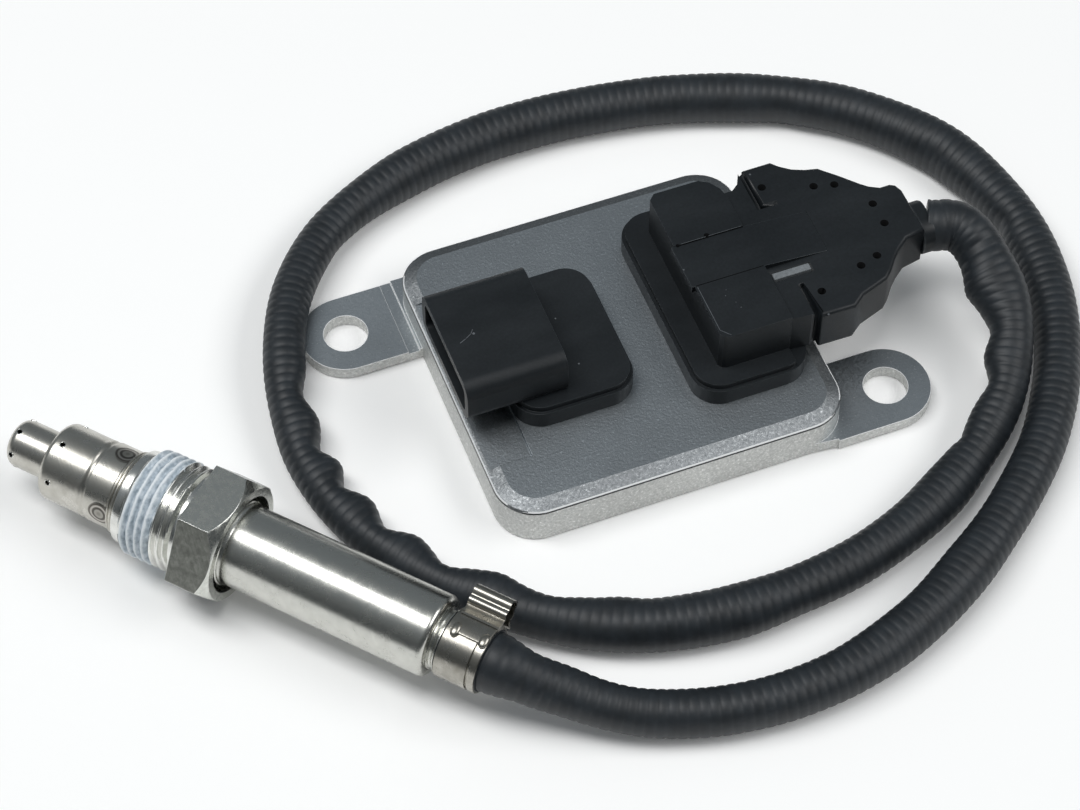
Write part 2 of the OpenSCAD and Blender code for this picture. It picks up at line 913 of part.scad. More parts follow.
module contact_holder() {
  color([0.9, 0.88, 0.82])
    on_probe()
    difference() {
      translate([0, 0, spigot_back])
        cylinder(r = spigot_r, h = holder_end - spigot_back);
      element_hole();
      spring_set();
    }
}

module spring_set() {
  for (side = [-1, 1], i = [-1 : 1 : 1])
    translate([side * (strip_t / 2 + 0.5) - 0.5, i * strip_w / 3 - 0.45, spring_low])
      cube([1, 0.9, spring_len]);
}

module contact_springs() {
  color([0.75, 0.72, 0.6])
    on_probe()
    spring_set();
}

module grommet() {
  color([0.35, 0.15, 0.12])
    on_probe()
    difference() {
      rotate_extrude()
        polygon([
          [0, holder_end], [spigot_r, holder_end], [spigot_r, tube_end - 1.2],
          [spigot_r - 0.3, tube_end - sheet], [0, tube_end - sheet]
        ]);
      translate([0, 0, holder_end - 1])
        cylinder(r = wire_r, h = tube_end);
    }
}

module neck_ring() {
  color([0.66, 0.65, 0.62])
    on_probe()
    rotate_extrude()
    polygon([
      [wire_r, tube_end - sheet], [lip_r, tube_end - sheet], [lip_r, neck_end],
      [neck_r, neck_end], [neck_r, sleeve_from - 1], [wire_r, sleeve_from - 1]
    ]);
}

module wire_bundle() {
  color([0.8, 0.8, 0.78])
    on_probe()
    translate([0, 0, holder_end])
    cylinder(r = wire_r, h = sleeve_from - holder_end);
}

module sleeve_end() {
  color([0.15, 0.17, 0.19])
    on_probe()
    rotate_extrude()
    polygon([
      [neck_r, neck_end], [sleeve_end_r, neck_end], [sleeve_end_r, sleeve_from],
      [wire_r, sleeve_from], [wire_r, sleeve_from - 1], [neck_r, sleeve_from - 1]
    ]);
}

module ear_clamp() {
  color([0.7, 0.69, 0.66])
    on_probe()
    difference() {
      union() {
        translate([0, 0, band_from])
          cylinder(r = band_r, h = band_w);
        translate([0, 0, band_from + band_w])
          cylinder(r = band_r - 0.1, h = 1.8);
        rotate([0, 0, ear_turn])
          translate([band_r - 0.7, -ear_w / 2, band_from + ear_from])
          cube([ear_h + 0.7, ear_w, ear_long]);
      }
      translate([0, 0, band_from - 1])
        cylinder(r = sleeve_end_r, h = 20);
      rotate([0, 0, ear_turn])
        translate([band_r + 0.2, -ear_w / 2 + band_t, band_from - 1])
        cube([ear_h - 0.2 - band_t, ear_w - 2 * band_t, ear_long + 4]);
    }
}

housing();
base_plate();
base_seal();
circuit_board();
main_chip();
driver_chip();
socket();
socket_seal();
socket_pin_1();
socket_pin_2();
socket_pin_3();
socket_pin_4();
socket_pin_5();
header();
header_seal();
header_pins();
plug_insert();
plug_seal();
plug_contacts();
plug_shell();
plug_latch();
lock_bar();
outlet_boot();
sleeve();
inner_tube();
outer_tube();
guard_ring();
probe_shell();
front_ceramic();
talc_packing();
rear_ceramic();
sensor_strip();
gland_nut();
rear_tube();
contact_holder();
contact_springs();
grommet();
neck_ring();
wire_bundle();
sleeve_end();
ear_clamp();
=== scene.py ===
# Exhaust nitrogen oxide sensor: a steel probe and its control unit, joined by one ribbed
# sleeve. Everything is in metres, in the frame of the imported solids.
import bpy
import bmesh
import math
from mathutils import Matrix, Vector, noise


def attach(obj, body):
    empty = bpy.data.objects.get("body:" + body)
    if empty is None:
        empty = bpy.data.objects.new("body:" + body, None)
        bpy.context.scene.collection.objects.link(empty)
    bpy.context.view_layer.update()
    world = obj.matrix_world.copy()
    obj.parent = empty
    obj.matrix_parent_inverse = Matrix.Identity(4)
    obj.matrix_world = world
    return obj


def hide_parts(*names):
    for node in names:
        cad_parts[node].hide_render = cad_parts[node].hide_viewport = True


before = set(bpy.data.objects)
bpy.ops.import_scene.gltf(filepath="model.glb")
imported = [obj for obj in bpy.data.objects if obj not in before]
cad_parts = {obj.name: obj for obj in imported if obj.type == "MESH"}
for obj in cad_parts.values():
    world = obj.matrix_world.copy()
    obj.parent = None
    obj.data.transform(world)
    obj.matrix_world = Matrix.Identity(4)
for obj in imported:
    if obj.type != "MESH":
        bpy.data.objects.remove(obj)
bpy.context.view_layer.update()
MM = 0.001

# Camera: a studio view from in front and above, at the angle that the photograph was taken
# from. The lens length and place were fitted to the nut, the unit's edges and its holes.
camera_place = Vector((-0.13366, -0.30914, 0.45518))
camera_aim = Vector((-0.01715, -0.00385, 0.0))
camera_data = bpy.data.cameras.new("studio_camera")
camera_data.sensor_width = 36.0
camera_data.lens = 100.0
camera_data.clip_start = 0.01
camera_data.clip_end = 20.0
camera = bpy.data.objects.new("studio_camera", camera_data)
camera.location = camera_place
camera.rotation_euler = (camera_aim - camera_place).to_track_quat("-Z", "Y").to_euler()
bpy.context.scene.collection.objects.link(camera)
bpy.context.scene.camera = camera


# Studio: a plain pale floor and large soft lamps. One long lamp high on the far left gives
# the streak along the steel, and the pale floor lights all undersides.
def smooth(value, low, high):
    t = min(max((value - low) / (high - low), 0.0), 1.0)
    return t * t * (3.0 - 2.0 * t)


floor_material = bpy.data.materials.new("pale_floor")
floor_material.use_nodes = True
floor_shader = floor_material.node_tree.nodes["Principled BSDF"]
floor_shader.inputs["Base Color"].default_value = (0.97, 0.97, 0.96, 1.0)
floor_shader.inputs["Roughness"].default_value = 0.9
floor_shader.inputs["Emission Color"].default_value = (1.0, 1.0, 1.0, 1.0)
floor_shader.inputs["Emission Strength"].default_value = 0.07
floor_shader.inputs["Specular IOR Level"].default_value = 0.1
floor_mesh = bpy.data.meshes.new("floor")
floor_build = bmesh.new()
bmesh.ops.create_grid(floor_build, x_segments=1, y_segments=1, size=1.6, matrix=Matrix.Translation((0, 0, -0.0002)))
floor_build.to_mesh(floor_mesh)
floor_build.free()
floor = bpy.data.objects.new("floor", floor_mesh)
floor_mesh.materials.append(floor_material)
bpy.context.scene.collection.objects.link(floor)


def soft_lamp(name, place, long_way, long_side, short_side, power, colour=(1.0, 1.0, 1.0)):
    lamp_data = bpy.data.lights.new(name, "AREA")
    lamp_data.shape = "RECTANGLE"
    lamp_data.size = long_side
    lamp_data.size_y = short_side
    lamp_data.energy = power
    lamp_data.color = colour
    lamp = bpy.data.objects.new(name, lamp_data)
    back = Vector(place).normalized()
    across = back.cross(Vector(long_way)).normalized()
    along = across.cross(back)
    turn = Matrix((along, across, back)).transposed().to_4x4()
    lamp.matrix_world = Matrix.Translation(place) @ turn
    bpy.context.scene.collection.objects.link(lamp)
    return lamp


soft_lamp("streak_lamp", (-0.36, 0.10, 1.02), (0.653, -0.757, 0.0), 0.95, 0.36, 7.5)
soft_lamp("fill_lamp", (0.75, -0.45, 0.95), (0.5, 0.85, 0.0), 0.9, 0.5, 6.0)
world = bpy.data.worlds.new("studio_air")
world.use_nodes = True
air_tree = world.node_tree
air_way = air_tree.nodes.new("ShaderNodeTexCoord")
air_rise = air_tree.nodes.new("ShaderNodeVectorMath")
air_rise.operation = "DOT_PRODUCT"
air_rise.inputs[1].default_value = (0.0, 0.5, 0.8)
air_tone = air_tree.nodes.new("ShaderNodeValToRGB")
air_bands = air_tone.color_ramp.elements
air_bands.new(0.25)
air_bands[0].color = (0.055, 0.062, 0.066, 1.0)
air_bands[1].color = (0.13, 0.14, 0.145, 1.0)
air_bands[2].position = 0.55
air_bands[2].color = (0.17, 0.19, 0.205, 1.0)
air_tree.links.new(air_way.outputs["Generated"], air_rise.inputs[0])
air_tree.links.new(air_rise.outputs["Value"], air_tone.inputs["Fac"])
air_tree.links.new(air_tone.outputs["Color"], air_tree.nodes["Background"].inputs["Color"])
air_tree.nodes["Background"].inputs["Strength"].default_value = 1.0
bpy.context.scene.world = world
bpy.context.scene.view_settings.view_transform = "Standard"


# Sleeve: a corrugated black plastic sleeve that carries the heater and signal wires from the
# probe to the plug. It is moulded in one length, pushed under the clamp and into the plug,
# and has buckled a little on the inside of its tighter bends.
exit_at = (-0.04717, -0.05876, 0.0110)
rest_z = 0.0043
sleeve_route = [
    exit_at,
    (-0.0455, -0.0607, 0.0110), (-0.0383, -0.0664, 0.0083), (-0.0242, -0.0746, 0.0048),
    (-0.0055, -0.0796, rest_z), (0.0053, -0.0798, rest_z), (0.0277, -0.0740, rest_z),
    (0.0424, -0.0659, rest_z), (0.0552, -0.0565, rest_z), (0.0660, -0.0462, rest_z),
    (0.0753, -0.0326, rest_z), (0.0812, -0.0186, rest_z), (0.0836, -0.0030, rest_z),
    (0.0818, 0.0124, rest_z), (0.0750, 0.0270, rest_z), (0.0634, 0.0396, rest_z),
    (0.0495, 0.0480, rest_z), (0.0341, 0.0537, rest_z), (0.0160, 0.0572, rest_z),
    (-0.0084, 0.0576, rest_z), (-0.0270, 0.0536, rest_z), (-0.0433, 0.0450, 0.0047),
    (-0.0532, 0.0334, 0.0057), (-0.0588, 0.0210, 0.0063), (-0.0616, 0.0096, 0.0051),
    (-0.0624, -0.0014, rest_z), (-0.0576, -0.0216, rest_z), (-0.0400, -0.0448, rest_z),
    (-0.0324, -0.0508, rest_z), (-0.0225, -0.0564, rest_z), (-0.0095, -0.0600, rest_z),
    (0.0134, -0.0604, rest_z), (0.0250, -0.0582, rest_z), (0.0470, -0.0486, 0.0044),
    (0.0612, -0.0372, 0.0070), (0.0693, -0.0144, 0.0142), (0.0656, -0.0040, 0.0170),
    (0.0618, -0.0028, 0.0172), (0.0610, -0.0024, 0.0172),
]
rib_pitch = 0.00183
rib_rise = 0.00007
rib_shape = (1.0, 0.9, 0.3, -1.1, 0.3, 0.9)
sleeve_sides = 28
# Visible width of the sleeve at distances from the clamp, in millimetres
width_along = [
    (0, 11.2), (8, 9.1), (15, 8.6), (55, 8.8), (80, 9.4), (95, 9.6), (112, 8.8), (156, 8.8),
    (175, 9.2), (188, 9.4), (204, 10.6), (222, 9.8), (315, 9.8), (334, 8.2), (370, 7.9),
    (400, 8.2), (446, 8.5), (458, 9.2), (484, 9.8), (497, 8.7), (518, 8.7), (531, 9.2),
    (543, 8.0), (562, 8.9), (577, 9.5), (600, 9.8),
]
# Buckles: distance along the sleeve, side as an angle (180 is the inside of the bends), depth
# and length in millimetres. A depth below zero is a bulge.
buckles = [
    (14, 150, -0.4, 9), (26, 180, 0.4, 12), (182, 180, 0.8, 6), (204.7, 150, 0.8, 8),
    (239, 180, 0.5, 9), (340, 250, 0.4, 8), (379, 165, 1.3, 7), (386, 165, -0.7, 6),
    (392.5, 165, 1.3, 5), (398, 165, -0.8, 5), (403, 165, 1.3, 5), (409, 165, -0.9, 6),
    (415.5, 165, 1.3, 6), (422, 165, -0.9, 7), (430, 165, 1.6, 7), (440, 150, -1.0, 9),
    (451, 180, 0.9, 9), (463, 170, -0.8, 10), (542, 180, 0.5, 4), (548, 180, -0.3, 6),
    (556, 180, 1.4, 7), (561, 150, -0.3, 5), (567, 180, 1.0, 6), (577, 180, -1.9, 10),
    (584, 120, 0.7, 4),
]


def hermite_line(points, first_way, last_way, fine=14):
    line = []
    ways = []
    for i, p in enumerate(points):
        if i == 0:
            ways.append(first_way)
        elif i == len(points) - 1:
            ways.append(last_way)
        else:
            back = points[i] - points[i - 1]
            ahead = points[i + 1] - points[i]
            a, b = back.length, ahead.length
            ways.append((back / a * b + ahead / b * a).normalized())
    for i in range(len(points) - 1):
        reach = (points[i + 1] - points[i]).length
        for k in range(fine):
            t = k / fine
            line.append(
                (2 * t ** 3 - 3 * t ** 2 + 1) * points[i]
                + (t ** 3 - 2 * t ** 2 + t) * reach * ways[i]
                + (3 * t ** 2 - 2 * t ** 3) * points[i + 1]
                + (t ** 3 - t ** 2) * reach * ways[i + 1]
            )
    line.append(points[-1])
    return line


def even_line(line, step):
    lengths = [0.0]
    for a, b in zip(line, line[1:]):
        lengths.append(lengths[-1] + (b - a).length)
    count = round(lengths[-1] / step)
    out = []
    j = 0
    for i in range(count + 1):
        at = lengths[-1] * i / count
        while j < len(line) - 2 and lengths[j + 1] < at:
            j += 1
        t = (at - lengths[j]) / (lengths[j + 1] - lengths[j])
        out.append(line[j].lerp(line[j + 1], t))
    return out, lengths[-1]


def width_at(distance):
    for (d0, w0), (d1, w1) in zip(width_along, width_along[1:]):
        if distance <= d1:
            return w0 + (w1 - w0) * smooth(distance, d0, d1)
    return width_along[-1][1]


sleeve_way = Vector((math.cos(math.radians(-49.2)), math.sin(math.radians(-49.2)), 0.0))
sleeve_curve = hermite_line([Vector(p) for p in sleeve_route], sleeve_way, Vector((-1.0, 0.0, 0.0)))
sleeve_rings, sleeve_length = even_line(sleeve_curve, rib_pitch / len(rib_shape))
sleeve_build = bmesh.new()
first_ring = None
last_ring = None
for i, centre in enumerate(sleeve_rings):
    before = sleeve_rings[max(i - 3, 0)]
    after = sleeve_rings[min(i + 3, len(sleeve_rings) - 1)]
    along = (after - before).normalized()
    side = along.cross(Vector((0, 0, 1))).normalized()
    up = side.cross(along)
    distance = sleeve_length * i / (len(sleeve_rings) - 1) / MM
    rib = rib_shape[i % len(rib_shape)]
    half = width_at(distance) / 2 * MM * 0.985
    ring = []
    for k in range(sleeve_sides):
        angle = 2 * math.pi * k / sleeve_sides
        uneven = noise.noise(Vector((distance * 0.09, 0.9 * math.cos(angle), 0.9 * math.sin(angle))))
        radius = half + rib_rise * rib + 0.16 * MM * uneven
        for at, turn, deep, long in buckles:
            near = math.exp(-((distance - at) / (long * 0.45)) ** 2)
            if near > 0.01:
                away = math.radians(turn) - angle
                radius -= deep * MM * near * max(math.cos(away), 0.0) ** 2
        place = centre + radius * (math.cos(angle) * side + math.sin(angle) * up)
        if place.z < 0.0001:
            place.z = 0.0001
        ring.append(sleeve_build.verts.new(place))
    if last_ring:
        for k in range(sleeve_sides):
            m = (k + 1) % sleeve_sides
            sleeve_build.faces.new((last_ring[k], last_ring[m], ring[m], ring[k]))
    else:
        first_ring = ring
    last_ring = ring
sleeve_build.faces.new(list(reversed(first_ring)))
sleeve_build.faces.new(last_ring)
bmesh.ops.recalc_face_normals(sleeve_build, faces=sleeve_build.faces)
sleeve_mesh = bpy.data.meshes.new("ribbed_sleeve")
sleeve_build.to_mesh(sleeve_mesh)
sleeve_build.free()
sleeve_mesh.shade_smooth()
ribbed_sleeve = bpy.data.objects.new("ribbed_sleeve", sleeve_mesh)
bpy.context.scene.collection.objects.link(ribbed_sleeve)
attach(ribbed_sleeve, "sensor")
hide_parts("sleeve")


# Control unit housing: an aluminium die casting with two fixing ears, shot-blasted, so its
# flat top has a fine sparkling grain. Its other faces take lit and shaded copies of that colour:
# paler walls, painted light from the floor; a darker sloping border round the top, painted
# shade; near-white bevelled edges, a painted highlight; and a dark strip under the top rim,
# painted shade.
def steps(tree, kind, place, **settings):
    node = tree.nodes.new(kind)
    node.location = place
    for key, value in settings.items():
        setattr(node, key, value)
    return node


def noise_on_object(tree, scale, detail, roughness, stretch=(1, 1, 1)):
    where = steps(tree, "ShaderNodeTexCoord", (-1200, 0))
    shape = steps(tree, "ShaderNodeMapping", (-1000, 0))
    shape.inputs["Scale"].default_value = stretch
    grain = steps(tree, "ShaderNodeTexNoise", (-800, 0))
    grain.inputs["Scale"].default_value = scale
    grain.inputs["Detail"].default_value = detail
    grain.inputs["Roughness"].default_value = roughness
    tree.links.new(where.outputs["Object"], shape.inputs["Vector"])
    tree.links.new(shape.outputs["Vector"], grain.inputs["Vector"])
    return grain


def ramp(tree, source, places, at=(-600, 0)):
    band = steps(tree, "ShaderNodeValToRGB", at)
    elements = band.color_ramp.elements
    while len(elements) < len(places):
        elements.new(0.5)
    for element, (where, colour) in zip(elements, places):
        element.position = where
        element.color = (*colour, 1.0) if len(colour) == 3 else (colour[0],) * 3 + (1.0,)
    tree.links.new(source, band.inputs["Fac"])
    return band


def bump(tree, source, strength, distance, below=None):
    node = steps(tree, "ShaderNodeBump", (-300, -300))
    node.inputs["Strength"].default_value = strength
    node.inputs["Distance"].default_value = distance
    tree.links.new(source, node.inputs["Height"])
    if below:
        tree.links.new(below.outputs["Normal"], node.inputs["Normal"])
    return node


def new_material(name, metallic, roughness, specular=0.5):
    material = bpy.data.materials.new(name)
    material.use_nodes = True
    shader = material.node_tree.nodes["Principled BSDF"]
    shader.inputs["Metallic"].default_value = metallic
    shader.inputs["Roughness"].default_value = roughness
    shader.inputs["Specular IOR Level"].default_value = specular
    return material, material.node_tree, shader


def cast_metal(name, dark, light, roughness, grain):
    material, tree, shader = new_material(name, 1.0, roughness)
    speck = noise_on_object(tree, 1900.0, 3.0, 0.8)
    cloud = noise_on_object(tree, 60.0, 3.0, 0.6)
    tone = ramp(tree, speck.outputs["Fac"], [(0.34, dark), (0.6, light), (0.72, tuple(min(1.0, c * 2.1) for c in light))])
    shade = ramp(tree, cloud.outputs["Fac"], [(0.3, (0.86, 0.86, 0.86)), (0.7, (1.0, 1.0, 1.0))])
    mix = steps(tree, "ShaderNodeMix", (-300, 0), data_type="RGBA", blend_type="MULTIPLY")
    mix.inputs["Factor"].default_value = 1.0
    tree.links.new(tone.outputs["Color"], mix.inputs["A"])
    tree.links.new(shade.outputs["Color"], mix.inputs["B"])
    tree.links.new(mix.outputs["Result"], shader.inputs["Base Color"])
    rough = ramp(tree, speck.outputs["Fac"], [(0.3, (roughness + 0.12,)), (0.7, (roughness - 0.08,))], (-600, -200))
    tree.links.new(rough.outputs["Color"], shader.inputs["Roughness"])
    relief = bump(tree, speck.outputs["Fac"], grain, 0.0002)
    tree.links.new(relief.outputs["Normal"], shader.inputs["Normal"])
    return material


def worn_copy(node, name, width, angle=30.0, segments=2, edge_slot=-1, wide_level=None, wide=0.0):
    build = bmesh.new()
    build.from_mesh(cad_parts[node].data)
    bmesh.ops.remove_doubles(build, verts=build.verts, dist=1e-6)
    bmesh.ops.dissolve_limit(build, angle_limit=math.radians(0.5), verts=build.verts, edges=build.edges)
    rim = [e for e in build.edges if len(e.link_faces) == 2 and e.calc_face_angle() > math.radians(angle)]
    if wide_level:
        bmesh.ops.bevel(
            build, geom=[e for e in rim if all(abs(v.co.z - wide_level) < 0.0002 for v in e.verts)], offset=wide,
            segments=2, profile=0.5, affect="EDGES", material=edge_slot, clamp_overlap=False,
        )
        rim = [e for e in build.edges if len(e.link_faces) == 2 and e.calc_face_angle() > math.radians(angle)]
    bmesh.ops.bevel(
        build, geom=rim, offset=width, segments=segments, profile=0.5, affect="EDGES",
        material=edge_slot, clamp_overlap=True,
    )
    return build


def finish_piece(name, build, material, body="sensor", stands_for=(), sharp=32.0):
    mesh = bpy.data.meshes.new(name)
    build.to_mesh(mesh)
    build.free()
    mesh.shade_smooth()
    mesh.set_sharp_from_angle(angle=math.radians(sharp))
    for one in material if isinstance(material, tuple) else (material,):
        mesh.materials.append(one)
    piece = bpy.data.objects.new(name, mesh)
    bpy.context.scene.collection.objects.link(piece)
    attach(piece, body)
    if stands_for:
        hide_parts(*stands_for)
    even = piece.modifiers.new("even_shading", "WEIGHTED_NORMAL")
    even.weight = 90
    even.keep_sharp = True
    return piece


unit_metal = cast_metal("blasted_roof", (0.25, 0.275, 0.295), (0.36, 0.39, 0.41), 0.42, 0.35)
# The walls take a much paler copy of the casting colour: painted light, the reflection of the pale floor.
wall_metal_painted_floor_light = cast_metal("blasted_walls_painted_floor_light", (0.50, 0.51, 0.50), (0.66, 0.665, 0.65), 0.5, 0.5)
ear_metal = cast_metal("smooth_ears", (0.38, 0.415, 0.44), (0.49, 0.53, 0.555), 0.36, 0.15)
# The sloping border takes a darker copy of the casting colour: painted shade against the bright rim it catches.
border_metal_painted_shade = cast_metal("blasted_border_painted_shade", (0.225, 0.24, 0.25), (0.335, 0.35, 0.36), 0.44, 0.6)
# The housing's bevelled edges get a near-white non-metal: a painted highlight along every rim.
highlight_edge_metal, highlight_edge_tree, highlight_edge_shader = new_material("bright_edge_painted_highlight", 0.0, 0.3)
highlight_edge_shader.inputs["Base Color"].default_value = (0.93, 0.94, 0.94, 1.0)
# A near-black metal for the lower bevel facets of the top rim: painted shade under the painted highlight.
rim_shade_metal, rim_shade_tree, rim_shade_shader = new_material("painted_shade_rim", 1.0, 0.5)
rim_shade_shader.inputs["Base Color"].default_value = (0.09, 0.095, 0.095, 1.0)
unit_build = worn_copy("housing", "unit_casting", 0.00022, edge_slot=4, wide_level=0.0082, wide=0.00038)
for face in unit_build.faces:
    x, y, level = face.calc_center_median()
    outer = abs(x) > 0.0325 or abs(y) > 0.0305
    # Sloping faces near the top's edge take the darker border copy, painted shade.
    if level > 0.007 and not outer:
        face.material_index = 3 if 0.1 < face.normal.z < 0.97 and max(abs(x), abs(y)) > 0.028 else 0
    # Bevels between the ears and the top rim keep the painted highlight; lower bevels take the paler wall copy.
    elif face.material_index == 4:
        face.material_index = 4 if 0.0015 < level < 0.0089 else 1
        # The steep bevel facets just under the top rim get the dark strip, painted shade.
        if 0.0075 < level < 0.0085 and face.normal.z < 0.5:
            face.material_index = 5
    # By face slope: steep walls take the paler copy, painted floor light; sloping faces the darker border copy, painted
    # shade.
    elif face.normal.z < 0.3:
        face.material_index = 1
    elif face.normal.z < 0.97:
        face.material_index = 3
    else:
        face.material_index = 0 if level > 0.008 else 2
finish_piece(
    "unit_casting", unit_build, (unit_metal, wall_metal_painted_floor_light, ear_metal, border_metal_painted_shade, highlight_edge_metal, rim_shade_metal),
    stands_for=("housing",), sharp=12.0,
)


# Socket, header, plug, latch and outlet: injection-moulded glass-filled nylon, nearly black,
# with a faint flow pattern and slightly paler, glossier bevelled edges. The pads are screwed down from
# inside the housing; the plug is pushed into the header and locked.
def moulded_plastic(name, base, roughness, grain):
    material, tree, shader = new_material(name, 0.0, roughness, 0.34)
    fine = noise_on_object(tree, 1800.0, 4.0, 0.6)
    flow = noise_on_object(tree, 45.0, 4.0, 0.55, (1.0, 2.4, 1.0))
    tone = ramp(tree, flow.outputs["Fac"], [(0.3, tuple(c * 0.82 for c in base)), (0.72, tuple(c * 1.2 for c in base))])
    speck = ramp(tree, fine.outputs["Fac"], [(0.35, (0.85, 0.85, 0.85)), (0.7, (1.15, 1.15, 1.15))])
    mix = steps(tree, "ShaderNodeMix", (-300, 0), data_type="RGBA", blend_type="MULTIPLY")
    mix.inputs["Factor"].default_value = 1.0
    tree.links.new(tone.outputs["Color"], mix.inputs["A"])
    tree.links.new(speck.outputs["Color"], mix.inputs["B"])
    tree.links.new(mix.outputs["Result"], shader.inputs["Base Color"])
    rough = ramp(tree, flow.outputs["Fac"], [(0.3, (roughness - 0.05,)), (0.7, (roughness + 0.07,))], (-600, -200))
    tree.links.new(rough.outputs["Color"], shader.inputs["Roughness"])
    relief = bump(tree, fine.outputs["Fac"], grain, 0.0001)
    tree.links.new(relief.outputs["Normal"], shader.inputs["Normal"])
    return material


black_nylon = moulded_plastic("black_nylon", (0.0098, 0.0125, 0.0148), 0.42, 0.2)
pale_edge_nylon = moulded_plastic("pale_edge_nylon", (0.026, 0.031, 0.035), 0.34, 0.1)
for node, name, width in [
    ("socket", "socket_moulding", 0.0003), ("header", "header_moulding", 0.0003),
    ("plug_latch", "latch_arm", 0.00015), ("outlet_boot", "outlet_collar", 0.0004),
]:
    finish_piece(
        name, worn_copy(node, name, width, edge_slot=1), (black_nylon, pale_edge_nylon),
        stands_for=(node,),
    )

# The plug shell has soft, generous roundings along its top and its outlet end, where the
# mould was polished. Its small moulding holes are filled for the rounding and drilled again.
def combined(build, other, operation):
    """Joins or cuts one closed mesh with another and gives back a new one."""
    body = bpy.data.objects.new("boolean_body", bpy.data.meshes.new("boolean_body"))
    tool = bpy.data.objects.new("boolean_tool", bpy.data.meshes.new("boolean_tool"))
    for item, source in ((body, build), (tool, other)):
        source.to_mesh(item.data)
        source.free()
        bpy.context.scene.collection.objects.link(item)
    cut = body.modifiers.new("boolean", "BOOLEAN")
    cut.operation = operation
    cut.solver = "EXACT"
    cut.object = tool
    bpy.context.view_layer.update()
    done = bmesh.new()
    done.from_mesh(body.evaluated_get(bpy.context.evaluated_depsgraph_get()).data)
    for item in (body, tool):
        bpy.data.objects.remove(item)
    return done


def rim_loops(build, level):
    """Groups the sharp edges at one level into connected loops."""
    rim = [
        e for e in build.edges
        if min(v.co.z for v in e.verts) > level - 0.00001 and len(e.link_faces) == 2 and e.calc_face_angle() > 1.2
    ]
    loops = []
    while rim:
        loop = [rim.pop(0)]
        for e in loop:
            for v in e.verts:
                for other in v.link_edges:
                    if other in rim:
                        rim.remove(other)
                        loop.append(other)
        loops.append(loop)
    return loops


def spread(loop):
    spots = [v.co for e in loop for v in e.verts]
    low = Vector([min(p[i] for p in spots) for i in range(3)])
    high = Vector([max(p[i] for p in spots) for i in range(3)])
    return low, high


def pegs(places, reach, low, high):
    build = bmesh.new()
    for x, y, radius in places:
        middle = Matrix.Translation((x, y, (low + high) / 2))
        bmesh.ops.create_cone(
            build, cap_ends=True, segments=24, radius1=radius + reach, radius2=radius + reach, depth=high - low, matrix=middle,
        )
    return build


plug_build = bmesh.new()
plug_build.from_mesh(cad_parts["plug_shell"].data)
bmesh.ops.remove_doubles(plug_build, verts=plug_build.verts, dist=1e-6)
plug_top = max(v.co.z for v in plug_build.verts)
hole_places = []
for loop in rim_loops(plug_build, plug_top):
    low, high = spread(loop)
    if high.x - low.x < 0.002 and abs((high.x - low.x) - (high.y - low.y)) < 0.0002:
        hole_places.append(((low.x + high.x) / 2, (low.y + high.y) / 2, (high.x - low.x) / 2))
plug_build = combined(plug_build, pegs(hole_places, 0.00012, plug_top - 0.0019, plug_top), "UNION")
bmesh.ops.remove_doubles(plug_build, verts=plug_build.verts, dist=1e-6)
bmesh.ops.dissolve_limit(plug_build, angle_limit=math.radians(0.5), verts=plug_build.verts, edges=plug_build.edges)
soft_edges = []
for loop in rim_loops(plug_build, plug_top):
    low, high = spread(loop)
    for e in loop if high.x - low.x > 0.004 else ():
        middle = (e.verts[0].co + e.verts[1].co) / 2
        if middle.x > 0.0312 and (middle.x > 0.0385 or abs(middle.y) > 0.0112):
            soft_edges.append(e)
bmesh.ops.bevel(
    plug_build, geom=soft_edges, offset=0.0007, segments=5, profile=0.5, affect="EDGES",
    material=-1, clamp_overlap=False,
)
plug_build = combined(plug_build, pegs(hole_places, 0.0, plug_top - 0.0016, plug_top + 0.001), "DIFFERENCE")
deep_shadow, shadow_tree, shadow_shader = new_material("deep_shadow", 0.0, 0.8, 0.1)
shadow_shader.inputs["Base Color"].default_value = (0.0012, 0.0014, 0.0016, 1.0)
for face in plug_build.faces:
    spot = face.calc_center_median()
    inside = any(math.hypot(spot.x - x, spot.y - y) < radius * 1.02 for x, y, radius in hole_places)
    face.material_index = 1 if inside and plug_top - 0.0018 < spot.z < plug_top - 0.0001 else 0
finish_piece("plug_moulding", plug_build, (black_nylon, deep_shadow), stands_for=("plug_shell",), sharp=50.0)


# Fine moulding lines, drawn as near-black strips and dots of painted shade, and gate marks and pale scuffs on the black
# mouldings
def stroke(build, points, width, proud):
    """Lays a narrow low bar along each leg of a line; points and sizes in millimetres."""
    for a, b in zip(points, points[1:]):
        a, b = Vector(a) * MM, Vector(b) * MM
        leg = b - a
        turn = Matrix.Rotation(math.atan2(leg.y, leg.x), 4, "Z")
        size = Matrix.Diagonal((leg.length + width * MM, width * MM, proud * MM, 1.0))
        bmesh.ops.create_cube(build, size=1.0, matrix=Matrix.Translation((a + b) / 2) @ turn @ size)


def dot(build, place, radius, proud):
    size = Matrix.Diagonal((radius * MM, radius * MM, proud * MM, 1.0))
    place = Matrix.Translation(Vector(place) * MM)
    bmesh.ops.create_uvsphere(build, u_segments=14, v_segments=8, radius=1.0, matrix=place @ size)


